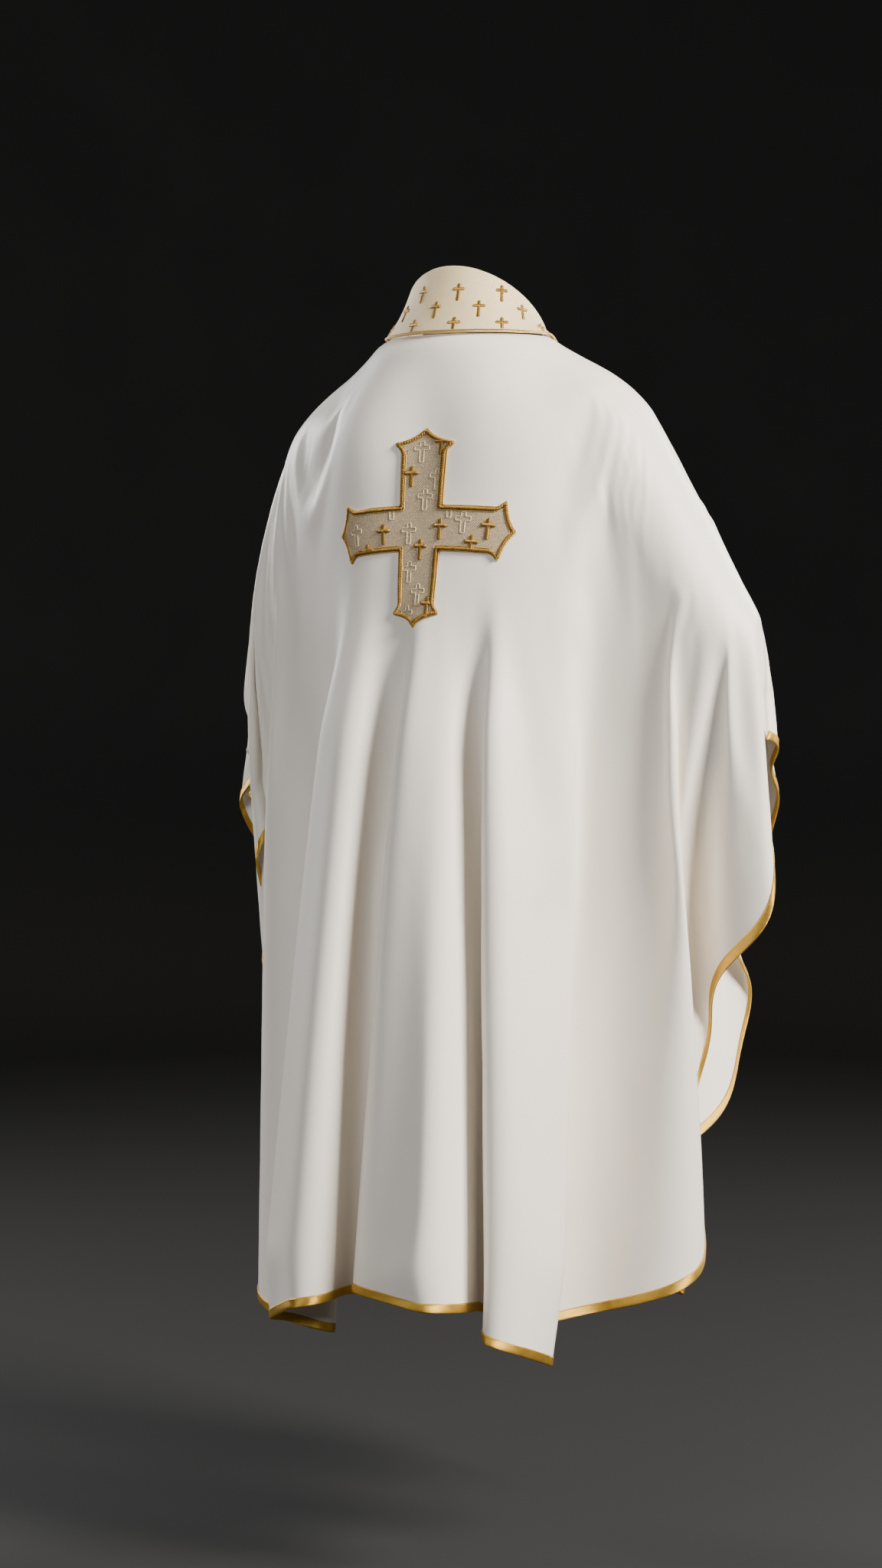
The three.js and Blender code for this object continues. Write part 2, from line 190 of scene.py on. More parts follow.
def cut_grid():
    """The bearing and the flat distance from the middle of the neck of every point of the grid."""
    bearing = np.broadcast_to(2 * math.pi * np.arange(COLUMNS) / COLUMNS, (ROWS + 1, COLUMNS))
    share = np.arange(ROWS + 1)[:, None] / ROWS
    radius = neck_radius(bearing) + share * (hem_radius(bearing) - neck_radius(bearing))
    return bearing, radius


# ---- The form the cloth is draped over


def make_form():
    """Neck, shoulders, trunk, arms and legs as a plain rounded form."""
    bm = bmesh.new()

    def ball(centre, size):
        place = Matrix.Translation(centre) @ Matrix.Diagonal((*size, 1))
        bmesh.ops.create_uvsphere(bm, u_segments=24, v_segments=16, radius=1, matrix=place)

    def limb(start, end, thick, thin, count=10):
        for step in range(count + 1):
            radius = thick + (thin - thick) * step / count
            ball(Vector(start).lerp(Vector(end), step / count), (radius,) * 3)

    ball((0, -0.01, -0.28), (0.175, 0.125, 0.27))
    for side in (1, -1):
        ball((0.07 * side, 0.035, -0.17), (0.09, 0.085, 0.13))
    ball((0, -0.005, -0.62), (0.165, 0.13, 0.22))
    limb((0, 0, -0.05), (0, -0.01, 0.02), 0.062, 0.060, 4)
    limb((0, 0, -0.7), (0, 0, -1.3), 0.155, 0.19, 8)
    for side, height, elbow, wrist, hand in (
        (1, -0.125, (0.262, 0.0, -0.39), (0.265, -0.12, -0.61), (0.24, -0.16, -0.70)),
        (-1, -0.110, (-0.335, 0.01, -0.36), (-0.325, -0.05, -0.60), (-0.30, -0.08, -0.71)),
    ):
        limb((0.05 * side, 0.005, -0.045), (0.162 * side, 0, height), 0.042, 0.060)
        limb((0.185 * side, 0, height - 0.02), elbow, 0.058, 0.045)
        limb(elbow, wrist, 0.045, 0.035)
        limb(wrist, hand, 0.035, 0.03, 4)

    form = new_object("form", bm)
    for kind, settings in (
        ("REMESH", {"mode": "VOXEL", "voxel_size": 0.012}),
        ("SMOOTH", {"iterations": 6, "factor": 0.6}),
        ("DECIMATE", {"ratio": 0.25}),
    ):
        modifier = form.modifiers.new(kind, kind)
        for key, value in settings.items():
            setattr(modifier, key, value)
    apply_modifiers(form)
    return form


def new_object(name, bm):
    mesh = bpy.data.meshes.new(name)
    bm.to_mesh(mesh)
    bm.free()
    made = bpy.data.objects.new(name, mesh)
    scene.collection.objects.link(made)
    return made


def apply_modifiers(made):
    depsgraph = bpy.context.evaluated_depsgraph_get()
    mesh = bpy.data.meshes.new_from_object(made.evaluated_get(depsgraph))
    made.modifiers.clear()
    made.data = mesh


# ---- Simulation

FRAMES = 40


def simulated_grid():
    """The whole cloth after it has been let down over the form, as an array of points [row, column]."""
    bearing, radius = cut_grid()
    start = starting_drape(bearing, radius - neck_radius(bearing))
    turn = cone_turn(bearing)
    cone = radius[..., None] * np.stack([
        CONE_SHARE * np.sin(turn),
        CONE_SHARE * np.cos(turn),
        np.full_like(turn, -math.sqrt(1 - CONE_SHARE ** 2)),
    ], -1)

    bm = bmesh.new()
    rings = [[bm.verts.new(point) for point in row] for row in start]
    for upper, lower in zip(rings, rings[1:]):
        for i in range(COLUMNS):
            k = (i + 1) % COLUMNS
            bm.faces.new((upper[i], lower[i], lower[k], upper[k]))
    cloth = new_object("cloth", bm)
    cloth.shape_key_add(name="start")
    flat = cloth.shape_key_add(name="cut")
    flat.data.foreach_set("co", cone.astype(np.float32).ravel())
    flat.value = 0

    form = make_form()
    form.modifiers.new("collision", "COLLISION")
    form.collision.thickness_outer = 0.008
    form.collision.cloth_friction = 20

    pins = cloth.vertex_groups.new(name="neck_seam")
    pins.add(list(range(2 * COLUMNS)), 1.0, "REPLACE")
    modifier = cloth.modifiers.new("cloth", "CLOTH")
    for key, value in {
        "quality": 5, "mass": 0.15, "air_damping": 3, "bending_model": "ANGULAR",
        "tension_stiffness": 40, "compression_stiffness": 40, "shear_stiffness": 8,
        "bending_stiffness": 1.5, "tension_damping": 10, "compression_damping": 10,
        "shear_damping": 5, "bending_damping": 0.5,
        "vertex_group_mass": "neck_seam", "pin_stiffness": 1, "rest_shape_key": flat,
    }.items():
        setattr(modifier.settings, key, value)
    modifier.collision_settings.distance_min = 0.006
    modifier.collision_settings.collision_quality = 2
    modifier.collision_settings.use_self_collision = False
    modifier.point_cache.frame_start = 1
    modifier.point_cache.frame_end = FRAMES
    scene.frame_start, scene.frame_end = 1, FRAMES
    for step in range(1, FRAMES + 1):
        scene.frame_set(step)
    draped = cloth.evaluated_get(bpy.context.evaluated_depsgraph_get()).data
    points = np.empty(len(draped.vertices) * 3)
    draped.vertices.foreach_get("co", points)
    bpy.data.objects.remove(cloth)
    bpy.data.objects.remove(form)
    return points.reshape(ROWS + 1, COLUMNS, 3)


# ---- The draped cloth as a surface


class Drape:
    """A smooth surface through the simulated grid, read by bearing and by share of the way to the hem."""

    def __init__(self, grid):
        before = 2 * grid[:1] - grid[1:2]
        after = 2 * grid[-1:] - grid[-2:-1]
        self.grid = np.concatenate([before, grid, after])

    def surface(self, bearing, share):
        """Points, and their changes with bearing and with share."""
        u = np.asarray(bearing) / (2 * math.pi) * COLUMNS
        v = np.clip(np.asarray(share), 0, 1) * ROWS
        column, row = np.floor(u).astype(int), np.minimum(np.floor(v).astype(int), ROWS - 1)
        weights_u, slopes_u = spline_weights(u - column)
        weights_v, slopes_v = spline_weights(v - row)
        point, by_u, by_v = (np.zeros(u.shape + (3,)) for _ in range(3))
        for a in range(4):
            for b in range(4):
                at = self.grid[row + a, (column + b - 1) % COLUMNS]
                point += at * (weights_v[a] * weights_u[b])[..., None]
                by_u += at * (weights_v[a] * slopes_u[b])[..., None]
                by_v += at * (slopes_v[a] * weights_u[b])[..., None]
        return point, by_u, by_v

    def point(self, bearing, share, height=0.0):
        point, by_u, by_v = self.surface(bearing, share)
        normal = unit(np.cross(by_u, by_v))
        return point + normal * np.broadcast_to(np.asarray(height), normal.shape[:-1])[..., None]

    def from_flat(self, middle, x, y, height=0.0):
        """x to the right and y up on the flat cut, seen from outside, from the middle of the neck."""
        bearing = middle - worn_bearing(np.arctan2(x, -y) / CONE_SHARE)
        neck = neck_radius(bearing)
        share = (np.hypot(x, y) - neck) / (hem_radius(bearing) - neck)
        return self.point(bearing, share, height)


def spline_weights(t):
    """Weights of four neighbours in a uniform cubic B-spline, and their slopes."""
    weights = ((1 - t) ** 3 / 6, (3 * t ** 3 - 6 * t ** 2 + 4) / 6,
               (-3 * t ** 3 + 3 * t ** 2 + 3 * t + 1) / 6, t ** 3 / 6)
    slopes = (-(1 - t) ** 2 / 2, (3 * t ** 2 - 4 * t) / 2, (-3 * t ** 2 + 2 * t + 1) / 2, t ** 2 / 2)
    return weights, slopes


def lengths_along(points):
    """The distance along a line of points from its first to each."""
    return np.concatenate([[0], np.cumsum(np.linalg.norm(np.diff(points, axis=0), axis=1))])


def unit(vectors):
    return vectors / np.maximum(np.linalg.norm(vectors, axis=-1, keepdims=True), 1e-12)


EVENED_ROWS = 9  # rows below the neck seam that are spaced evenly again
SMOOTH_WAVES = 7  # waves round the body that the smoothing keeps


def evened(grid):
    """The grid with its first rows spaced evenly down the cloth."""
    top = grid[:EVENED_ROWS + 1]
    down = np.cumsum(np.linalg.norm(np.diff(top, axis=0, prepend=top[:1]), axis=-1), axis=0)
    even = grid.copy()
    for column in range(COLUMNS):
        wanted = np.linspace(0, down[-1, column], EVENED_ROWS + 1)
        for axis in range(3):
            even[:EVENED_ROWS + 1, column, axis] = np.interp(wanted, down[:, column], top[:, column, axis])
    return even


def smoothed(grid):
    """The collar seam and the crosses' backing keep the cloth smooth round the neck and over the back."""
    grid = evened(grid)
    waves = np.fft.rfft(grid, axis=1)
    kept = 1 / (1 + (np.arange(waves.shape[1]) / SMOOTH_WAVES) ** 4)
    smooth = np.fft.irfft(waves * kept[:, None], COLUMNS, axis=1)
    bearing, radius = cut_grid()
    down = radius - neck_radius(bearing)
    below_neck = 1 - smoothstep(0.06, 0.17, down)
    under_cross = (1 - smoothstep(0.30, 0.52, down)) * smoothstep(0.55, 0.85, np.abs(np.cos(bearing)))
    hold = np.maximum(below_neck, under_cross)[..., None]
    hold[0] = 0
    return grid + hold * (smooth - grid)


WING_GAP, WING_REACH = 0.013, 0.032  # between the front cloth and the back cloth beside the arms
WING_TOP, WING_HEM = -0.34, 58  # the height, and the first row of the hem, where they are looked for
SEAM_MARGIN, SPREAD_STEPS = 0.15, 12


def parted(grid):
    """The front cloth, and the hem that curls under, kept inside the back cloth beside the arms."""
    toward_back = np.cos(cut_grid()[0])
    outward = unit(np.cross(np.roll(grid, -1, 1) - np.roll(grid, 1, 1), np.gradient(grid, axis=0)))
    behind = np.argwhere(toward_back[:WING_HEM] > SEAM_MARGIN)
    tree = KDTree(len(behind))
    for index, (row, column) in enumerate(behind):
        tree.insert(grid[row, column], index)
    tree.balance()
    push = np.zeros_like(grid)
    inside = toward_back < -SEAM_MARGIN
    inside[WING_HEM:] |= toward_back[WING_HEM:] < SEAM_MARGIN
    for row, column in np.argwhere(inside & (grid[..., 2] < WING_TOP)):
        _, index, distance = tree.find(grid[row, column])
        near = tuple(behind[index])
        above = (grid[row, column] - grid[near]) @ outward[near] + WING_GAP
        if above > 0 and distance < WING_REACH:
            push[row, column] = -above * outward[near]
    held = np.any(push != 0, axis=-1, keepdims=True)
    spread = push
    for _ in range(SPREAD_STEPS):
        beside = np.roll(spread, 1, 1) + np.roll(spread, -1, 1)
        along = np.concatenate([spread[1:], spread[-1:]]) + np.concatenate([spread[:1], spread[:-1]])
        spread = np.where(held, push, (beside + along) / 4)
    return grid + spread


drape = Drape(parted(smoothed(simulated_grid())))

# ---- Finishes


class Signal:
    """A socket's value in a material. Arithmetic on it adds Math nodes."""

    def __init__(self, finish, socket):
        self.finish, self.socket = finish, socket

    def math(self, operation, *values):
        return self.finish.node("ShaderNodeMath", {"operation": operation}, values)

    def __add__(self, other):
        return self.math("ADD", self, other)

    def __sub__(self, other):
        return self.math("SUBTRACT", self, other)

    def __rsub__(self, other):
        return self.math("SUBTRACT", other, self)

    def __mul__(self, other):
        return self.math("MULTIPLY", self, other)

    __radd__, __rmul__ = __add__, __mul__

    def clamped(self):
        lowered = self.math("MINIMUM", self, 1.0)
        return self.math("MAXIMUM", lowered, 0.0)


class Finish:
    """A material. Values that are the same all over are set on the shader; the rest are linked to it."""

    def __init__(self, name, **constants):
        self.material = bpy.data.materials.new(name)
        self.material.use_nodes = True
        self.tree = self.material.node_tree
        self.shader = self.tree.nodes["Principled BSDF"]
        for key, value in constants.items():
            self.shader.inputs[key.replace("_", " ")].default_value = value

    def node(self, kind, settings=None, values=(), output=0):
        made = self.tree.nodes.new(kind)
        for key, value in (settings or {}).items():
            setattr(made, key, value)
        for key, value in values.items() if isinstance(values, dict) else enumerate(values):
            self.join(made.inputs[key], value)
        return Signal(self, made.outputs[output])

    def join(self, socket, value):
        if isinstance(value, Signal):
            self.tree.links.new(value.socket, socket)
        else:
            socket.default_value = value

    def set(self, **links):
        for key, value in links.items():
            self.join(self.shader.inputs[key.replace("_", " ")], value)

    def blend(self, share, first, second):
        values = {0: share}
        for socket, colour in ((6, first), (7, second)):
            values[socket] = colour if isinstance(colour, Signal) else (*colour, 1)
        return self.node("ShaderNodeMix", {"data_type": "RGBA"}, values, output=2)

    def place(self, scale, turn=0.0):
        """Where a point is on the flat cut, in units of scale to the metre."""
        at = self.node("ShaderNodeUVMap", {"uv_map": "cut"})
        return self.stretch(at, (scale, scale, scale) if isinstance(scale, (int, float)) else scale, turn)

    def stretch(self, at, scale, turn=0.0):
        turned = self.node("ShaderNodeMapping", {}, {"Vector": at, "Rotation": (0, 0, turn)})
        return self.node("ShaderNodeMapping", {}, {"Vector": turned, "Scale": scale})

    def noise(self, place, detail=3.0, roughness=0.5):
        values = {"Vector": place, "Scale": 1.0, "Detail": detail, "Roughness": roughness}
        return self.node("ShaderNodeTexNoise", {}, values)

    def threads(self, place, direction="X", wander=0.0):
        """Rows of threads one unit apart, 0 between two threads and 1 on the middle of one."""
        values = {"Vector": place, "Scale": math.pi / 10, "Distortion": wander, "Detail": 1.0}
        settings = {"wave_type": "BANDS", "bands_direction": direction, "wave_profile": "SIN"}
        return self.node("ShaderNodeTexWave", settings, values, output=1)

    def bump(self, height, distance, strength=1.0):
        values = {"Height": height, "Distance": distance, "Strength": strength}
        self.set(Normal=self.node("ShaderNodeBump", {}, values))


def satin_finish(name, light, shade, sheen):
    """Ivory satin: floats along the piece over a fine warp, with a few thicker threads across."""
    finish = Finish(name, Sheen_Weight=sheen, Sheen_Roughness=0.35, Specular_IOR_Level=0.42)
    weft = finish.threads(finish.place(1100), "Y", 0.6)
    warp = finish.threads(finish.place(1500), "X", 0.4)
    slubs = finish.noise(finish.place((22, 1300, 1)), 2.0)
    cloudy = finish.noise(finish.place(7), 3.0, 0.55)
    handled = finish.noise(finish.place((60, 18, 1)), 2.0)
    finish.set(
        Base_Color=finish.blend(0.55 * cloudy + 0.30 * slubs, light, shade),
        Roughness=0.37 + 0.12 * handled + 0.06 * slubs,
    )
    finish.bump(0.5 * weft + 0.3 * warp + 1.4 * slubs + 5.0 * handled, 0.00006, 0.7)
    return finish.material


def brocade_finish(name, ground, pale, thread, metal):
    """Brocade ground: a fine broken twill of pale metallic thread on cloth."""
    finish = Finish(name, Sheen_Weight=0.15, Sheen_Roughness=0.4, Specular_IOR_Level=0.5)
    twill = finish.threads(finish.place(430, math.radians(38)), "X", 1.6)
    counter = finish.threads(finish.place(900, math.radians(-40)), "X", 1.2)
    picks = finish.noise(finish.place((900, 380, 1), math.radians(35)), 2.0, 0.6)
    cloudy = finish.noise(finish.place(45), 2.0)
    glint = (4.0 * picks - 1.7).clamped()
    body = finish.blend(0.75 * twill + 0.25 * cloudy, ground, pale)
    finish.set(
        Base_Color=finish.blend(0.55 * glint, body, thread),
        Metallic=metal * glint,
        Roughness=0.56 - 0.18 * glint + 0.06 * cloudy,
    )
    finish.bump(0.9 * twill + 0.35 * counter + 0.8 * picks, 0.0003, 0.9)
    return finish.material


def gold_finish(name, hollow_shade, crown_light_and_rubbed, pitch, turn, roughness=0.34, metallic=0.9, relief=0.00025):
    """Wound or ribbed metallic gold thread, with painted shade in the hollows between its threads and
    painted light on their crowns, and brighter where it is rubbed.
    """
    finish = Finish(name, Specular_IOR_Level=0.5)
    ribs = finish.threads(finish.place(1 / pitch, turn), "X", 0.25)
    strands = finish.threads(finish.place(2.6 / pitch, turn + math.radians(8)), "X", 0.5)
    worn = finish.noise(finish.place(90), 3.0, 0.6)
    # The ribs in the colour paint shade into the hollows and light onto the crowns of the threads; worn
    # brightens rubbed patches.
    finish.set(
        Base_Color=finish.blend(0.62 * ribs + 0.40 * worn, hollow_shade, crown_light_and_rubbed),
        Roughness=roughness + 0.20 * worn - 0.08 * ribs,
        Metallic=metallic - 0.15 * worn,
    )
    finish.bump(ribs + 0.3 * strands + 0.4 * worn, relief, 0.9)
    return finish.material


def felt_finish(name, colour, dark):
    """Felted stiffener: short matted fibres."""
    finish = Finish(name, Sheen_Weight=0.3, Sheen_Roughness=0.6, Specular_IOR_Level=0.2)
    at = finish.node("ShaderNodeTexCoord", {}, (), output=3)
    fibres = finish.noise(finish.stretch(at, (1400, 1400, 500)), 4.0, 0.7)
    tufts = finish.noise(finish.stretch(at, (160, 160, 160)), 3.0)
    finish.set(
        Base_Color=finish.blend(0.5 * fibres + 0.4 * tufts, colour, dark),
        Roughness=0.86 + 0.12 * fibres,
    )
    finish.bump(fibres + tufts, 0.0003, 0.6)
    return finish.material


IVORY = satin_finish("ivory_satin", (0.95, 0.89, 0.80), (0.90, 0.825, 0.72), 0.30)
LINING = satin_finish("ivory_lining", (0.88, 0.82, 0.72), (0.80, 0.73, 0.63), 0.15)
COLLAR_BROCADE = brocade_finish("cream_brocade", (0.60, 0.41, 0.18), (0.95, 0.82, 0.57),
                                (0.97, 0.74, 0.34), 0.4)
CROSS_BROCADE = brocade_finish("beige_brocade", (0.15, 0.09, 0.036), (0.58, 0.44, 0.27),
                               (0.93, 0.79, 0.53), 0.45)
# Each gold's first colour is painted shade for the hollows between its threads; its second is painted light
# on their crowns and the colour of rubbed wear.
HEM_GOLD = gold_finish("gold_tape", (0.46, 0.22, 0.018), (0.97, 0.62, 0.11),
                       0.0011, math.radians(52), 0.34)
ROPE_GOLD = gold_finish("antique_gold_rope", (0.13, 0.058, 0.009), (0.60, 0.34, 0.07),
                        0.0007, math.radians(20))
FINE_GOLD = gold_finish("light_gold_cord", (0.62, 0.37, 0.08), (1.0, 0.76, 0.34),
                        0.0008, math.radians(35), 0.28)
SATIN_STITCH = gold_finish("gold_satin_stitch", (0.13, 0.062, 0.010), (0.64, 0.38, 0.09),
                           0.0008, 0.0, 0.32)
OUTLINE_THREAD = gold_finish("pale_gold_thread", (0.70, 0.52, 0.27), (1.0, 0.86, 0.58),
                             0.0007, 0.4, 0.42, 0.35)
FELT = felt_finish("felt", (0.86, 0.82, 0.74), (0.68, 0.62, 0.52))

# ---- Making pieces


def lay(bm, columns, rows, place):
    """Adds a grid of facets. place takes x and y from 0 to 1, across and down, and returns the points and
    the piece's own flat coordinates in metres."""
    layer = bm.loops.layers.uv.get("cut") or bm.loops.layers.uv.new("cut")
    made = bmesh.ops.create_grid(bm, x_segments=columns, y_segments=rows, size=0.5)["verts"]
    at = np.array([vertex.co for vertex in made])
    points, flat = place(at[:, 0] + 0.5, 0.5 - at[:, 1])
    for vertex, point, uv in zip(made, points.tolist(), flat.tolist()):
        vertex.co = point
        for loop in vertex.link_loops:
            loop[layer].uv = uv


def lay_cord(bm, points, outward, radius, sides=8, closed=False, flatness=1.0):
    """Adds a round cord along points. flatness presses it down along outward."""
    points = np.asarray(points, float)
    count = len(points)
    steps = count if closed else count - 1
    ahead = np.roll(points, -1, 0) - np.roll(points, 1, 0) if closed else np.gradient(points, axis=0)
    ahead = unit(ahead)
    across = unit(np.cross(ahead, outward))
    up = np.cross(across, ahead)
    spans = np.linalg.norm(np.roll(points, -1, 0) - points, axis=1)
    gone = np.concatenate([[0], np.cumsum(spans)])[:steps + 1]
    radius = np.broadcast_to(radius, count)

    def place(x, y):
        step = np.round(x * steps).astype(int)
        at, turn = step % count, 2 * math.pi * y
        ring = np.cos(turn)[:, None] * across[at] + flatness * np.sin(turn)[:, None] * up[at]
        return points[at] + radius[at, None] * ring, np.stack([gone[step], radius[at] * turn], -1)

    lay(bm, steps, sides, place)


WELD = 1e-6


def bend(bm, place):
    """Moves every point of bm, drawn flat with z as its height, to where place puts it."""
    at = np.array([vertex.co for vertex in bm.verts])
    for vertex, point in zip(bm.verts, place(at[:, 0], at[:, 1], at[:, 2]).tolist()):
        vertex.co = point


def close(bm):
    """Welds the seams of cords and turns their faces outwards."""
    bmesh.ops.remove_doubles(bm, verts=bm.verts, dist=WELD)
    bmesh.ops.holes_fill(bm, edges=bm.edges, sides=0)
    bmesh.ops.recalc_face_normals(bm, faces=bm.faces)


def add_piece(name, bm, finish, slot, *nodes, thickness=0.0):
    """A finished piece that rides the body and stands in for the named CAD nodes."""
    piece = new_object(name, bm)
    piece.data.polygons.foreach_set("use_smooth", [True] * len(piece.data.polygons))
    piece.data.materials.append(finish)
    if thickness:
        solid = piece.modifiers.new("thickness", "SOLIDIFY")
        solid.thickness = thickness
        solid.offset = -1
        solid.use_even_offset = False
    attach(piece, "root")
    if nodes:
        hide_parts(*nodes)
    return piece


def resampled(points, step, closed=True, smooth=0):
    """The same line with points an even step apart, its corners softened by smooth passes."""
    points = np.asarray(points, float)
    if closed:
        points = np.vstack([points, points[:1]])
    gone = lengths_along(points)
    count = max(4, round(gone[-1] / step))
    at = np.linspace(0, gone[-1], count + 1)
    even = np.stack([np.interp(at, gone, column) for column in points.T], -1)
    if closed:
        even = even[:-1]
    for _ in range(smooth):
        even = (np.roll(even, 1, 0) + 2 * even + np.roll(even, -1, 0)) / 4
    return even


def declare_sheet(piece, held, rests_on, *with_pieces):
    """Reads the piece's flat coordinates; nothing is done with them."""
    mesh = piece.data
    cut = np.empty(len(mesh.loops) * 2)
    mesh.uv_layers["cut"].data.foreach_get("uv", cut)
    cut = cut.reshape(-1, 2)


# ---- Panels

SEAM_ROLL, SEAM_ROLL_WIDTH = 0.0012, 0.004


def cut_place(middle, bearing, radius):
    """A place on the flat cut: x to the right and y up, seen from outside, from the middle of the neck."""
    turn = CONE_SHARE * cone_turn(middle - bearing)
    return np.stack([radius * np.sin(turn), -radius * np.cos(turn)], -1)


def make_panel(side, middle):
    """Half of the cloth, its edges rolled into the shoulder seams."""

    def place(x, y):
        bearing = middle - math.pi * (x - 0.5)
        neck = neck_radius(bearing)
        radius = neck + y * (hem_radius(bearing) - neck)
        to_seam = (0.5 - np.abs(x - 0.5)) * math.pi * radius
        roll = -SEAM_ROLL * (1 - smoothstep(0, SEAM_ROLL_WIDTH, to_seam))
        return drape.point(bearing, y, roll), cut_place(middle, bearing, radius)

    bm = bmesh.new()
    lay(bm, 260, 140, place)
    return add_piece(f"{side}_panel_cloth", bm, IVORY, "ivory_satin", f"{side}_panel", thickness=CLOTH)


panels = {side: make_panel(side, middle) for side, middle in SIDES.items()}

# ---- Hem tapes and their stitching

# The outside of the folded tape: distance past the hem and height over the outside of the cloth, in mm.
TAPE_PROFILE = 0.001 * np.array([
    (-10.6, 0.10), (-10.5, 0.80), (-9.6, 1.06), (-7.0, 1.02), (-4.0, 1.06), (-1.5, 0.96), (0.2, 0.62),
    (0.8, 0.05), (0.95, -0.60), (0.8, -1.25), (0.2, -1.72), (-1.5, -1.86), (-4.0, -1.86), (-7.0, -1.82),
    (-9.0, -1.84), (-9.7, -1.50),
])
TAPE_THICKNESS, TAPE_STEP = 0.0004, 0.0045
STITCH_PITCH, STITCH_LINE, STITCH_RADIUS = 0.0032, -0.0094, 0.00042
STITCH_HEIGHT, STITCH_DIP, STITCH_STEPS = 0.00102, 0.00022, 4


def hem_line(middle, step):
    """Even points along a panel's hem on the flat cut, and the directions out of the cloth there."""
    bearing = middle - math.pi * (np.linspace(0, 1, 2000) - 0.5)
    line = resampled(cut_place(middle, bearing, hem_radius(bearing)), step, closed=False)
    ahead = unit(np.gradient(line, axis=0))
    rightward = np.sign(ahead[len(line) // 2, 0])
    return line, np.stack([ahead[:, 1], -ahead[:, 0]], -1) * rightward


def past_hem(middle, line, out, past, height):
    """Points past the hem by past, or back over the cloth where it is negative."""
    within = line + out * np.minimum(past, 0)[:, None]
    point = drape.from_flat(middle, within[:, 0], within[:, 1], height)
    edge = drape.from_flat(middle, line[:, 0], line[:, 1])
    inner = line - 0.002 * out
    ahead = unit(edge - drape.from_flat(middle, inner[:, 0], inner[:, 1]))
    return point + ahead * np.maximum(past, 0)[:, None]


def make_hem_tape(side, middle):
    """The tape folded over a panel's hem, ribbed across."""
    line, out = hem_line(middle, TAPE_STEP)
    steps, last = len(line) - 1, len(TAPE_PROFILE) - 1
    across = lengths_along(TAPE_PROFILE)

    def place(x, y):
        at, ring = np.round(x * steps).astype(int), np.round(y * last).astype(int)
        past, height = TAPE_PROFILE[ring].T
        flat = np.stack([at * TAPE_STEP, across[ring]], -1)
        return past_hem(middle, line[at], out[at], past, height), flat

    bm = bmesh.new()
    lay(bm, steps, last, place)
    return add_piece(f"{side}_hem_tape", bm, HEM_GOLD, "gold_trim", f"{side}_hem_binding",
                     thickness=TAPE_THICKNESS)


def make_hem_stitching(side, middle):
    """One thread that comes up and goes down through the tape near its upper edge."""
    line, out = hem_line(middle, STITCH_PITCH / STITCH_STEPS)
    wave = np.cos(2 * math.pi * np.arange(len(line)) / STITCH_STEPS)
    past = np.full(len(line), STITCH_LINE)
    at = past_hem(middle, line, out, past, STITCH_HEIGHT + STITCH_DIP * wave)
    above = past_hem(middle, line, out, past, 0.01)
    bm = bmesh.new()
    lay_cord(bm, at, unit(above - at), STITCH_RADIUS * (0.75 + 0.25 * wave), sides=4)
    close(bm)
    return add_piece(f"{side}_hem_stitching", bm, FINE_GOLD, "gold_trim")


tapes = {side: make_hem_tape(side, middle) for side, middle in SIDES.items()}
stitching = {side: make_hem_stitching(side, middle) for side, middle in SIDES.items()}

# ---- Inside: neck facings, shoulder seam tapes and the hanging loop

FACING_DEPTH, FACING_THICKNESS, FACING_LIFT, FACING_EDGE = 0.042, 0.0009, 0.0022, 0.002
SEAM_TAPE_WIDTH, SEAM_TAPE_THICKNESS, SEAM_TAPE_LIFT = 0.014, 0.0006, 0.0038
SEAM_TAPE_START, SEAM_TAPE_END = 0.004, 0.012  # past the facing, and short of the hem
LOOP_LENGTH, LOOP_WIDTH, LOOP_THICKNESS, LOOP_SAG = 0.064, 0.005, 0.0007, 0.005
LOOP_DOWN, LOOP_LIFT = 0.016, 0.0044


def inside_strip(name, columns, rows, place, finish, thickness, node):
    """A strip inside the garment. place returns bearing, radius, height and flat coordinates."""

    def worn(x, y):
        bearing, radius, height, flat = place(x, y)
        neck = neck_radius(bearing)
        return drape.point(bearing, (radius - neck) / (hem_radius(bearing) - neck), height), flat

    bm = bmesh.new()
    lay(bm, columns, rows, worn)
    return add_piece(name, bm, finish, "ivory_satin", node, thickness=thickness)


def facing_place(middle):
    def place(x, y):
        bearing = middle - (math.pi - 0.02) * (x - 0.5)
        radius = neck_radius(bearing) + FACING_EDGE + (FACING_DEPTH - FACING_EDGE) * y
        rolled = 0.0006 * smoothstep(0.94, 1, y)
        return bearing, radius, -FACING_LIFT - rolled + 0 * x, cut_place(middle, bearing, radius)
    return place


def seam_tape_place(middle):
    def place(x, y):
        start = neck_radius(middle) + FACING_DEPTH + SEAM_TAPE_START
        end = hem_radius(middle) - SEAM_TAPE_END
        radius = start + (end - start) * y
        off = (x - 0.5) * SEAM_TAPE_WIDTH
        bearing = middle - off / (CONE_SHARE * (1 + SIDE_FULLNESS) * radius)
        return bearing, radius, np.full_like(x, -SEAM_TAPE_LIFT), np.stack([off, -radius], -1)
    return place


def loop_place(x, y):
    radius = neck_radius(0.0) + LOOP_DOWN + LOOP_WIDTH * y
    bearing = -(x - 0.5) * LOOP_LENGTH / NECK_HALF_WIDTH
    height = -LOOP_LIFT - LOOP_SAG * np.sin(math.pi * x) ** 0.7
    return bearing, radius, height, np.stack([(x - 0.5) * LOOP_LENGTH, -LOOP_WIDTH * y], -1)


facings = {
    side: inside_strip(f"{side}_neck_facing_cloth", 72, 8, facing_place(middle), LINING, FACING_THICKNESS,
                       f"{side}_neck_facing")
    for side, middle in SIDES.items()
}
for side, middle in (("left", math.pi / 2), ("right", -math.pi / 2)):
    inside_strip(f"{side}_seam_tape", 6, 90, seam_tape_place(middle), LINING, SEAM_TAPE_THICKNESS,
                 f"{side}_shoulder_seam_tape")
inside_strip("hanging_loop_tape", 24, 2, loop_place, LINING, LOOP_THICKNESS, "hanging_loop")

# ---- Collar

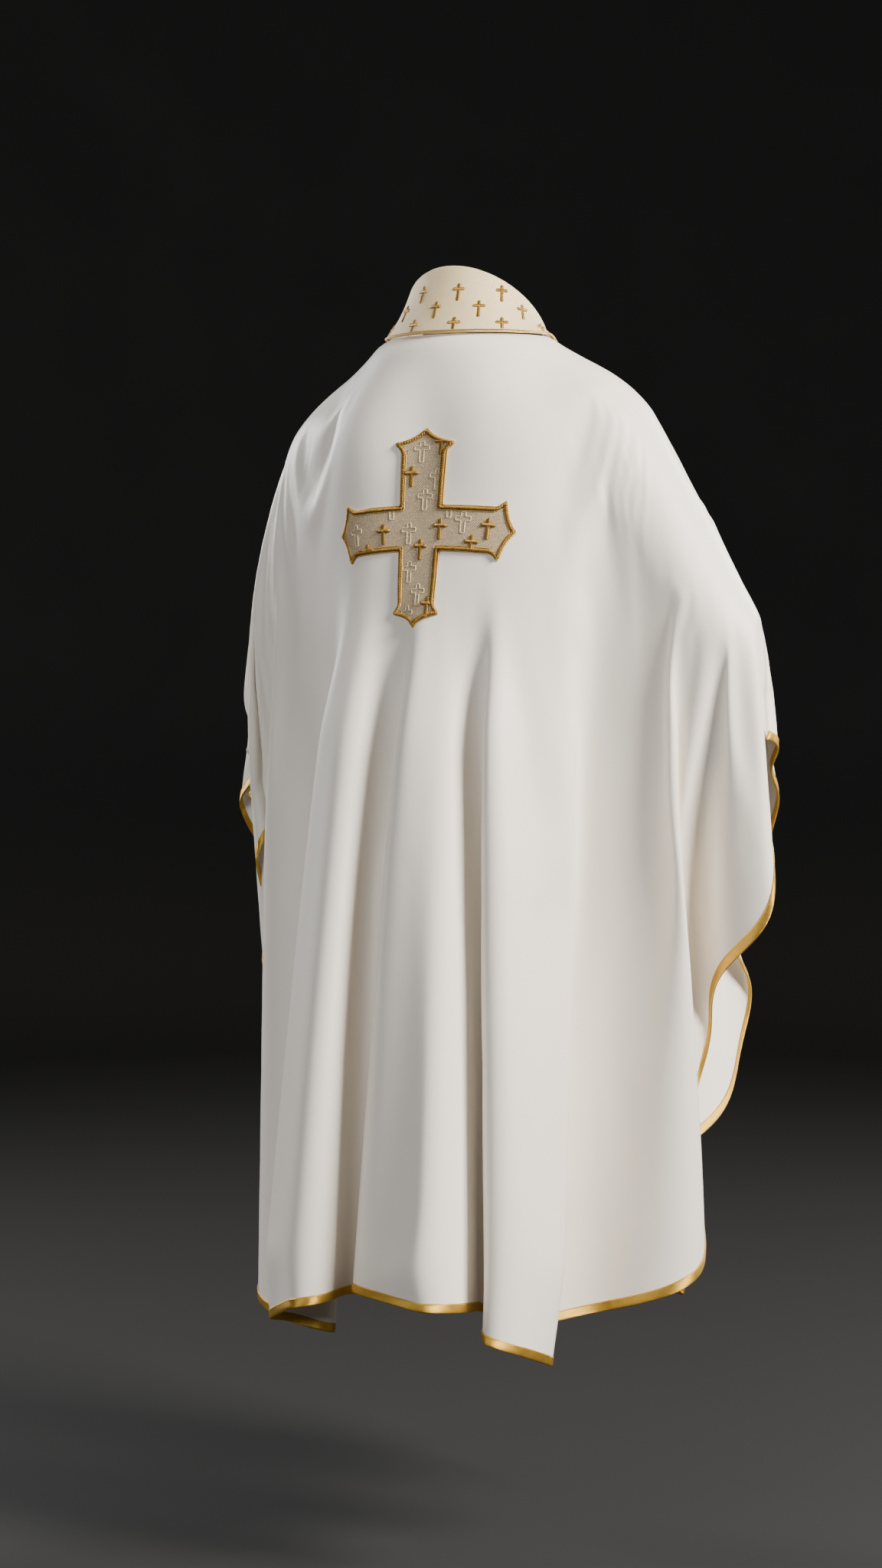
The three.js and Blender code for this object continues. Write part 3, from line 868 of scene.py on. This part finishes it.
COLLAR_HALF_WIDTH, COLLAR_HALF_DEPTH, COLLAR_CENTRE_Y = 0.086, 0.078, -0.022
COLLAR_MID_HEIGHT, COLLAR_TILT = 0.022, 0.064
COLLAR_BASE_LIFT, COLLAR_OUTER, COLLAR_WAIST = 0.0024, 0.0024, 0.0022
COLLAR_START_UP, COLLAR_FOLD, COLLAR_CLOTH = 0.001, 0.016, 0.0008
LINING_START_UP, LINING_SHORT, LINING_LIFT = 0.0015, 0.003, 0.0019
THROAT_GAP = 0.004


def collar_line(bearing):
    """The base of the collar, the way up from it, the rise and the way outwards."""
    base = neck_point(bearing) + (0, 0, COLLAR_BASE_LIFT)
    top = np.stack([
        COLLAR_HALF_WIDTH * np.sin(bearing),
        COLLAR_CENTRE_Y + COLLAR_HALF_DEPTH * np.cos(bearing),
        COLLAR_MID_HEIGHT + COLLAR_TILT * np.cos(bearing),
    ], -1)
    rise = np.linalg.norm(top - base, axis=-1)
    up = (top - base) / rise[..., None]
    across = neck_point(bearing + 0.01) - neck_point(bearing - 0.01)
    return base, up, rise, unit(np.cross(up, across))


def on_collar(bearing, up, height):
    base, way_up, rise, outward = collar_line(bearing)
    waist = -COLLAR_WAIST * np.sin(math.pi * np.clip(up / rise, 0, 1))
    return base + way_up * up[:, None] + outward * (height + waist)[:, None]


COLLAR_TABLE = np.linspace(-math.pi, math.pi, 721)
COLLAR_ARC = lengths_along(neck_point(COLLAR_TABLE))
COLLAR_ARC -= COLLAR_ARC[len(COLLAR_ARC) // 2]


def collar_bearing(x):
    """x is the distance along the base to the right of the middle of the back, seen from outside."""
    return np.interp(-x, COLLAR_ARC, COLLAR_TABLE)


def collar_along(bearing):
    return -np.interp(bearing, COLLAR_TABLE, COLLAR_ARC)


def collar_sheet(name, rows, profile, finish, slot, node, thickness):
    """A sheet round the collar. profile takes y and the rise, and returns the way up, height and length."""

    def place(x, y):
        bearing = -2 * (x - 0.5) * (math.pi - THROAT_GAP)
        up, height, gone = profile(y, collar_line(bearing)[2])
        return on_collar(bearing, up, height), np.stack([collar_along(bearing), gone], -1)

    bm = bmesh.new()
    lay(bm, 168, rows, place)
    return add_piece(name, bm, finish, slot, node, thickness=thickness)


def turned_over(y, rise):
    """Up the outside, over the top edge in a half round and down inside."""
    bend_length = math.pi * COLLAR_OUTER
    straight = rise - COLLAR_OUTER - COLLAR_START_UP
    gone = y * (straight + bend_length + COLLAR_FOLD)
    round_part = np.clip((gone - straight) / bend_length, 0, 1) * math.pi
    up = np.minimum(gone, straight) + COLLAR_START_UP + COLLAR_OUTER * np.sin(round_part)
    up -= np.maximum(0, gone - straight - bend_length)
    return up, COLLAR_OUTER * np.cos(round_part), gone


def lined(y, rise):
    """Up the inside to the turned-over brocade."""
    gone = y * (rise - COLLAR_FOLD - LINING_SHORT)
    return LINING_START_UP + gone, np.full_like(y, -LINING_LIFT), -gone


collar = collar_sheet("collar_brocade_cloth", 56, turned_over, COLLAR_BROCADE, "gold_brocade",
                      "collar_brocade", COLLAR_CLOTH)
collar_lining = collar_sheet("collar_lining_cloth", 16, lined, LINING, "ivory_satin", "collar_lining",
                             COLLAR_CLOTH)

# ---- Embroidered motifs

CAPSULE_STEPS = 22


def lay_padded_bar(bm, start, end, half_width, height, lift):
    """A padded bar of satin stitch with rounded ends, drawn flat."""
    start, end = (np.append(point, lift) for point in (start, end))
    share = (1 - np.cos(math.pi * np.linspace(0, 1, CAPSULE_STEPS))) / 2
    points = start + (end - start) * share[:, None]
    to_end = np.minimum(share, 1 - share) * np.linalg.norm(end - start) / half_width
    waist = 0.86 + 0.14 * smoothstep(0.15, 0.5, np.abs(share - 0.5))
    radius = half_width * waist * np.sqrt(np.clip(1 - (1 - np.minimum(to_end, 1)) ** 2, 1e-4, 1))
    lay_cord(bm, points, (0.0, 0.0, 1.0), radius, sides=10, flatness=height / half_width)


def lay_padded_cross(bm, x, y, size, lift):
    """A small Latin cross of two padded bars. size is its whole height."""
    at = np.array([x, y])
    bar, high = 0.118 * size, 0.085 * size
    lay_padded_bar(bm, at + (0, -0.57 * size), at + (0, 0.43 * size), bar, high, lift)
    across = at + (-0.36 * size, 0.11 * size), at + (0.36 * size, 0.11 * size)
    lay_padded_bar(bm, *across, bar, high * 1.12, lift)


def lay_outlined_cross(bm, x, y, size, lift, radius):
    """The outline of a small Latin cross in thin cord."""
    bar, arm, crossing = 0.10, 0.36, 0.11
    quarter = [(bar, -0.57), (bar, crossing - bar), (arm, crossing - bar), (arm, crossing + bar),
               (bar, crossing + bar), (bar, 0.43)]
    outline = quarter + [(-a, b) for a, b in reversed(quarter)]
    line = resampled(size * np.array(outline) + (x, y), 0.0009, smooth=2)
    line = np.column_stack([line, np.full(len(line), lift)])
    lay_cord(bm, line, (0.0, 0.0, 1.0), radius, sides=5, closed=True)


def cut_across(bm, axis, value, sign=1.0, clear=False):
    """Cuts bm where x or y has a value, and clears what is past it on the side that sign gives."""
    normal, plane = [0.0, 0.0, 0.0], [0.0, 0.0, 0.0]
    normal[axis], plane[axis] = sign, value
    bmesh.ops.bisect_plane(bm, geom=bm.verts[:] + bm.edges[:] + bm.faces[:], plane_co=plane,
                           plane_no=normal, clear_outer=clear)


def keep_within(bm, limits):
    """Cuts away what is outside x_low, x_high, y_low, y_high."""
    for value, axis, sign in zip(limits, (0, 0, 1, 1), (-1, 1, -1, 1)):
        if value is not None:
            cut_across(bm, axis, value, sign, clear=True)


def add_flat_part(target, part):
    """Moves a finished flat part into the piece that holds all of its kind."""
    mesh = bpy.data.meshes.new("part")
    part.to_mesh(mesh)
    part.free()
    target.from_mesh(mesh)
    bpy.data.meshes.remove(mesh)


# ---- Crosses applied to the back and the front

CROSS_CENTRE = {"back": -0.338, "front": -0.400}  # below the middle of the neck on the flat cut
ARM_HALF_WIDTH, ARM_LENGTH, FLARE_START = 0.027, 0.122, 0.092
EAR_OUT, EAR_UP = 0.0355, 0.104
ROPE_INSET, ROPE_STRAND, ROPE_PITCH = 0.0024, 0.00135, 0.0062
FIELD_INSET, FIELD_HEIGHT, FIELD_THICKNESS, FIELD_STEP = 0.0040, 0.0024, 0.0007, 0.005
FELT_INSET, FELT_HEIGHT, FELT_THICKNESS = 0.0012, 0.0014, 0.0011
OUTER_CORD_INSET, OUTER_CORD_RADIUS, OUTER_CORD_LIFT = -0.0007, 0.0009, 0.0009
INNER_CORD_INSET, INNER_CORD_RADIUS, INNER_CORD_LIFT = 0.0054, 0.00065, FIELD_HEIGHT + 0.0004

# Small crosses on the field, in mm from its middle, with where its edge cuts them off.
PADDED_CROSSES = [
    (-14, 65, None), (-49, -4, None), (27, 0, None), (3, -25, None), (86, 3, None),
    (19, -95, (None, 23, None, None)), (21, 103, (None, 23, None, 106)),
    (-73, -26, (None, None, -23.5, None)), (68, -18, (None, None, -23.5, None)),
    (-119, 12, (-110, None, None, 21)),
]
OUTLINED_CROSSES = [
    (-3, 95, None), (-14, -5, None), (5, 36, None), (-91, -1, None), (55, 9, None), (-11, -52, None),
    (3.5, -80, None), (19, 61, (None, 22.5, None, None)), (-12, -106, (None, None, -109, None)),
    (-107, -28, (-114, None, -22, None)), (-38, 26, (None, None, None, 22.5)),
    (-24, -33, (None, None, -22.5, None)), (37, 27, (None, None, None, 22.5)),
    (46, -33, (None, None, -22.5, None)), (31, -55, (None, 22.5, None, None)),
]
PADDED_SIZE, OUTLINED_SIZE, OUTLINE_RADIUS = 0.0262, 0.0255, 0.00068


def curve_points(start, control, end):
    """Points of a curve bent towards control, after its start."""
    t = np.linspace(0, 1, 8)[1:, None]
    return (1 - t) ** 2 * np.array(start) + 2 * t * (1 - t) * np.array(control) + t ** 2 * np.array(end)


def cross_outline(inset):
    """The equal-armed cross with keel-shaped ends, drawn in by inset all round."""
    half_width = ARM_HALF_WIDTH - inset
    ear = (EAR_OUT - 0.9 * inset, EAR_UP - 0.4 * inset)
    tip = (0.0, ARM_LENGTH - 1.3 * inset)
    flare = (half_width, FLARE_START - 0.4 * inset)
    side = np.vstack([
        [(half_width, half_width), flare],
        curve_points(flare, (half_width + 0.0015, ear[1] - 0.005), ear),
        curve_points(ear, (ear[0] * 0.3, ear[1] + 0.004), tip),
    ])
    arm = np.vstack([side, (side[-2:0:-1]) * (-1, 1)])
    turns = [np.array([[math.cos(a), math.sin(a)], [-math.sin(a), math.cos(a)]])
             for a in np.arange(4) * math.pi / 2]
    return np.vstack([arm @ turn for turn in turns])


def cross_place(middle, centre):
    """Lays a cross on the worn cloth at its own full width, whatever the cloth gives below it."""
    reach = np.linspace(-ARM_LENGTH, ARM_LENGTH, 61)
    worn = drape.from_flat(middle, reach, np.full_like(reach, centre))
    given = np.linalg.norm(np.diff(worn, axis=0), axis=1).sum() / (2 * ARM_LENGTH)
    return lambda x, y, z: drape.from_flat(middle, x / given, y + centre, z)


def make_cross_sheet(name, side, inset, height, thickness, finish, slot, node):
    """A piece in the cross's shape, cut fine enough to follow the cloth."""
    bm = bmesh.new()
    outline = resampled(cross_outline(inset), 0.002, smooth=1)
    bm.faces.new([bm.verts.new((x, y, 0)) for x, y in outline])
    for axis in (0, 1):
        for value in np.arange(-ARM_LENGTH, ARM_LENGTH, FIELD_STEP) + FIELD_STEP / 2:
            cut_across(bm, axis, value)
    bmesh.ops.recalc_face_normals(bm, faces=bm.faces)
    if sum(face.normal.z for face in bm.faces) < 0:
        bmesh.ops.reverse_faces(bm, faces=bm.faces)
    layer = bm.loops.layers.uv.new("cut")
    for face in bm.faces:
        for loop in face.loops:
            loop[layer].uv = loop.vert.co.xy
    for vertex in bm.verts:
        vertex.co.z = height
    bend(bm, cross_place(SIDES[side], CROSS_CENTRE[side]))
    return add_piece(name, bm, finish, slot, node, thickness=thickness)


def bend_onto_cross(bm, side):
    """Welds a closed cord drawn flat and lays it round the cross."""
    bmesh.ops.remove_doubles(bm, verts=bm.verts, dist=WELD)
    bend(bm, cross_place(SIDES[side], CROSS_CENTRE[side]))
    bmesh.ops.recalc_face_normals(bm, faces=bm.faces)


def make_rope(name, side, node):
    """The two-strand rope round the cross."""
    line = resampled(cross_outline(ROPE_INSET), 0.00078, smooth=6)
    count = len(line)
    spans = np.linalg.norm(np.roll(line, -1, 0) - line, axis=1)
    gone = np.concatenate([[0], np.cumsum(spans)[:-1]])
    turns = round(spans.sum() / ROPE_PITCH)
    ahead = unit(np.roll(line, -1, 0) - np.roll(line, 1, 0))
    sideways = np.column_stack([ahead[:, 1], -ahead[:, 0], np.zeros(count)])
    middle_line = np.column_stack([line, np.full(count, FELT_HEIGHT + 0.8 * ROPE_STRAND)])
    bm = bmesh.new()
    for strand in (0, 1):
        phase = (2 * math.pi * turns * gone / spans.sum() + strand * math.pi)[:, None]
        offset = ROPE_STRAND * 0.86 * (np.cos(phase) * sideways + np.sin(phase) * (0, 0, 1))
        lay_cord(bm, middle_line + offset, (0.0, 0.0, 1.0), ROPE_STRAND, sides=7, closed=True)
    bend_onto_cross(bm, side)
    return add_piece(name, bm, ROPE_GOLD, "gold_trim", node)


def make_edge_cord(name, side, inset, radius, lift):
    """A thin cord along the rope."""
    line = resampled(cross_outline(inset), 0.0018, smooth=2)
    line = np.column_stack([line, np.full(len(line), lift)])
    bm = bmesh.new()
    lay_cord(bm, line, (0.0, 0.0, 1.0), radius, sides=7, closed=True)
    bend_onto_cross(bm, side)
    return add_piece(name, bm, FINE_GOLD, "gold_trim")


def make_motifs(name, crosses, lay_one, place, finish, nodes=()):
    """All the motifs of one kind on a piece."""
    together = bmesh.new()
    for x, y, limits in crosses:
        part = bmesh.new()
        lay_one(part, 0.001 * x, 0.001 * y)
        bmesh.ops.remove_doubles(part, verts=part.verts, dist=1e-7)
        if limits:
            keep_within(part, [None if value is None else 0.001 * value for value in limits])
            bmesh.ops.holes_fill(part, edges=part.edges, sides=0)
        bmesh.ops.recalc_face_normals(part, faces=part.faces)
        add_flat_part(together, part)
    bend(together, place)
    return add_piece(name, together, finish, "gold_trim", *nodes)


def make_cross(side):
    """The field of a side's cross, and everything sewn to it."""
    place = cross_place(SIDES[side], CROSS_CENTRE[side])
    motif_nodes = [f"{side}_cross_motif_{number}" for number in range(1, 6)]
    top = FIELD_HEIGHT + 0.0002
    field = make_cross_sheet(f"{side}_cross_field", side, FIELD_INSET, FIELD_HEIGHT, FIELD_THICKNESS,
                             CROSS_BROCADE, "gold_brocade", f"{side}_cross_brocade")
    felt = make_cross_sheet(f"{side}_cross_felt", side, FELT_INSET, FELT_HEIGHT, FELT_THICKNESS, FELT,
                            "stiffener", f"{side}_cross_backing")
    return field, [
        felt,
        make_rope(f"{side}_cross_rope", side, f"{side}_cross_cord"),
        make_edge_cord(f"{side}_cross_outer_cord", side, OUTER_CORD_INSET, OUTER_CORD_RADIUS,
                       OUTER_CORD_LIFT),
        make_edge_cord(f"{side}_cross_inner_cord", side, INNER_CORD_INSET, INNER_CORD_RADIUS,
                       INNER_CORD_LIFT),
        make_motifs(f"{side}_cross_padded_motifs", PADDED_CROSSES,
                    lambda bm, x, y: lay_padded_cross(bm, x, y, PADDED_SIZE, top), place, SATIN_STITCH,
                    motif_nodes),
        make_motifs(f"{side}_cross_outlined_motifs", OUTLINED_CROSSES,
                    lambda bm, x, y: lay_outlined_cross(bm, x, y, OUTLINED_SIZE, top, OUTLINE_RADIUS),
                    place, OUTLINE_THREAD),
    ]


crosses = {side: make_cross(side) for side in SIDES}

# ---- Collar embroidery and piping

# The collar's small crosses stand in rows, in mm, each row half a step further to the left.
COLLAR_ROWS_UP = (55, 32, 9)
COLLAR_STEP, COLLAR_START = 60, 20
COLLAR_END_MARGIN, COLLAR_TOP_MARGIN, COLLAR_SEAM_UP = 14, 13, 2.2
COLLAR_CROSS_SIZE, COLLAR_CROSS_LIFT, COLLAR_OUTLINE = 0.0246, 0.0001, 0.0006


def collar_crosses(shift):
    """Places along and up the collar for one kind of motif, with where the base seam cuts it."""
    half_length = 1000 * COLLAR_ARC[-1]
    found = []
    for row, up in enumerate(COLLAR_ROWS_UP):
        limits = (None, None, COLLAR_SEAM_UP, None) if up == COLLAR_ROWS_UP[-1] else None
        for step in range(-8, 9):
            x = COLLAR_START + shift + COLLAR_STEP * step - COLLAR_STEP // 2 * row
            if abs(x) > half_length - COLLAR_END_MARGIN:
                continue
            rise = 1000 * float(collar_line(collar_bearing(np.array([0.001 * x])))[2][0])
            if up < rise - COLLAR_TOP_MARGIN:
                found.append((x, up, limits))
    return found


def collar_place(x, y, z):
    return on_collar(collar_bearing(x), y, COLLAR_OUTER + z)


collar_padded = make_motifs(
    "collar_padded_motifs", collar_crosses(0),
    lambda bm, x, y: lay_padded_cross(bm, x, y, COLLAR_CROSS_SIZE, COLLAR_CROSS_LIFT),
    collar_place, SATIN_STITCH)
collar_outlined = make_motifs(
    "collar_outlined_motifs", collar_crosses(COLLAR_STEP // 2),
    lambda bm, x, y: lay_outlined_cross(bm, x, y, COLLAR_CROSS_SIZE, COLLAR_CROSS_LIFT, COLLAR_OUTLINE),
    collar_place, FINE_GOLD)

PIPING_RADIUS, PIPING_STRAND, PIPING_DROP = 0.0018, 0.00105, 0.0018
PIPING_PITCH, PIPING_TWIST = 0.0042, 0.00065


def make_piping():
    """Fine two-strand cord in the collar's base seam, its ends butted at the throat."""
    bearing = np.linspace(-1, 1, 900) * (math.pi - THROAT_GAP)
    base, up, _, outward = collar_line(bearing)
    line = base + outward * (COLLAR_OUTER + PIPING_RADIUS * 0.7) - (0, 0, PIPING_DROP)
    gone = lengths_along(line)
    bm = bmesh.new()
    for strand in (0, 1):
        phase = (2 * math.pi * gone / PIPING_PITCH + strand * math.pi)[:, None]
        offset = PIPING_TWIST * (np.cos(phase) * outward + np.sin(phase) * up)
        lay_cord(bm, line + offset, outward, PIPING_STRAND, sides=6)
    close(bm)
    return add_piece("collar_piping_cord", bm, FINE_GOLD, "gold_trim", "collar_piping")


piping = make_piping()
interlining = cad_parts["collar_interlining"].data
interlining.materials.clear()
interlining.materials.append(FELT)

# ---- Reading the cloth pieces' flat coordinates

for side in SIDES:
    field, trims = crosses[side]
    declare_sheet(panels[side], "draped", [collar], tapes[side], stitching[side])
    declare_sheet(facings[side], "hung", [panels[side]])
    declare_sheet(field, "laid", [panels[side]], *trims)
declare_sheet(collar, "folded", ["collar_interlining"], collar_padded, collar_outlined, piping)
declare_sheet(collar_lining, "hung", [collar])

# ---- Floor, backdrop and light

FLOOR = -1.51
STAGE_RADIUS, STAGE_HEIGHT, STAGE_CURVE = 5.2, 5.5, 1.4
WALL_FADE = 0.8
LIGHT_AIM = Vector((0, 0, -0.6))


def stage_finish():
    finish = Finish("studio_paper", Specular_IOR_Level=0.2)
    at = finish.node("ShaderNodeTexCoord", {}, (), output=3)
    height = finish.node("ShaderNodeSeparateXYZ", {}, (at,), output=2)
    share = finish.node("ShaderNodeMapRange", {"interpolation_type": "SMOOTHSTEP"},
                        (height, FLOOR, FLOOR + WALL_FADE))
    mottle = finish.noise(finish.stretch(at, (3, 3, 3)), 2.0)
    wall = finish.blend(share, (0.020, 0.0198, 0.0195), (0.009, 0.009, 0.0095))
    finish.set(Base_Color=wall, Roughness=0.7 + 0.1 * mottle)
    return finish.material


def make_stage():
    """A dark floor that turns up into a round backdrop."""
    bm = bmesh.new()
    turn = np.linspace(0, math.pi / 2, 12)
    profile = [(0.0, FLOOR), (STAGE_RADIUS * 0.4, FLOOR)]
    profile += [(STAGE_RADIUS + STAGE_CURVE * math.sin(a), FLOOR + STAGE_CURVE * (1 - math.cos(a)))
                for a in turn]
    profile.append((STAGE_RADIUS + STAGE_CURVE, FLOOR + STAGE_HEIGHT))
    line = [bm.verts.new((x, 0, z)) for x, z in profile]
    edges = [bm.edges.new(pair) for pair in zip(line, line[1:])]
    bmesh.ops.spin(bm, geom=line + edges, cent=(0, 0, 0), axis=(0, 0, 1), angle=2 * math.pi, steps=96,
                   use_merge=True)
    bmesh.ops.remove_doubles(bm, verts=bm.verts, dist=1e-4)
    bmesh.ops.recalc_face_normals(bm, faces=bm.faces)
    stage = new_object("studio_floor", bm)
    stage.data.polygons.foreach_set("use_smooth", [True] * len(stage.data.polygons))
    stage.data.materials.append(stage_finish())


def soft_light(name, right, near, height, power, size, colour=(1.0, 1.0, 1.0)):
    """An area light aimed at the garment, placed to the right of and nearer to the camera's line."""
    across, back = math.cos(VIEW_TURN), math.sin(VIEW_TURN)
    place = Vector((-right * across - near * back, -right * back + near * across, height))
    light = bpy.data.objects.new(name, bpy.data.lights.new(name, "AREA"))
    scene.collection.objects.link(light)
    light.data.energy, light.data.size, light.data.color = power, size, colour
    light.location = place
    light.rotation_euler = (LIGHT_AIM - place).to_track_quat("-Z", "Y").to_euler()


make_stage()
world = bpy.data.worlds.new("studio")
scene.world = world
world.use_nodes = True
world.node_tree.nodes["Background"].inputs[0].default_value = (0.125, 0.122, 0.12, 1)
soft_light("key", 2.6, 2.1, 1.5, 430, 1.1, (1.0, 0.955, 0.89))
soft_light("fill", -2.4, 2.6, 0.6, 60, 1.8, (0.96, 0.975, 1.0))
soft_light("rim_right", 2.4, -2.2, 0.8, 90, 1.0)
soft_light("rim_left", -2.4, -2.2, 0.8, 90, 1.0)
